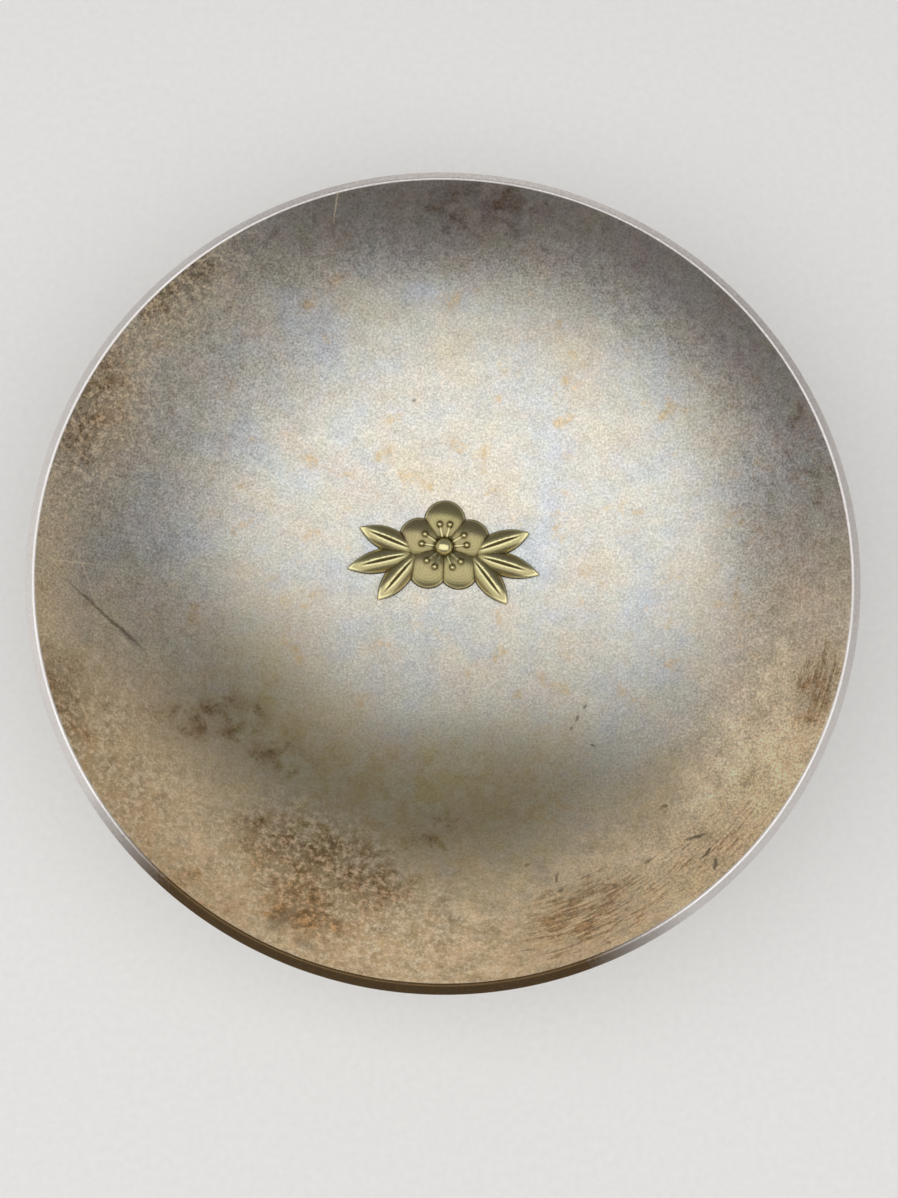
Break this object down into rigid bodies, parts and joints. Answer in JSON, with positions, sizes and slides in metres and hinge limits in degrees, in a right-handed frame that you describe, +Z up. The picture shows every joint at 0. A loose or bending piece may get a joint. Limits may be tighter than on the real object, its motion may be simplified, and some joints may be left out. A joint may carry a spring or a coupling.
{
  "type": "sake cup",
  "caption": "Shallow footed sake cup of satin silver with a thick flat lip, a tapered foot ring and a raised plum blossom ornament in its dished middle.",
  "frame": {"origin": "on the table under the middle of the foot ring, where the axis of the cup meets the plane it stands on", "axes": "+Z up along the axis of the cup, X along the ornament, +Y the way up of the ornament"},
  "size_m": [0.09, 0.09, 0.027],
  "materials": {
    "satin_silver": "blasted satin silver with brown and gold tarnish, bright cut lip",
    "foot_silver": "satin silver, rubbed bright on the standing edge",
    "silver_braze": "dull run silver braze",
    "gilt_brass": "struck yellow metal, soft polish with darkened hollows",
    "grey_solder": "dull dark solder"
  },
  "bodies": {
    "root": {"bowl": "satin_silver", "foot_ring": "foot_silver", "foot_braze": "silver_braze", "ornament": "gilt_brass", "ornament_solder": "grey_solder"}
  },
  "joints": []
}
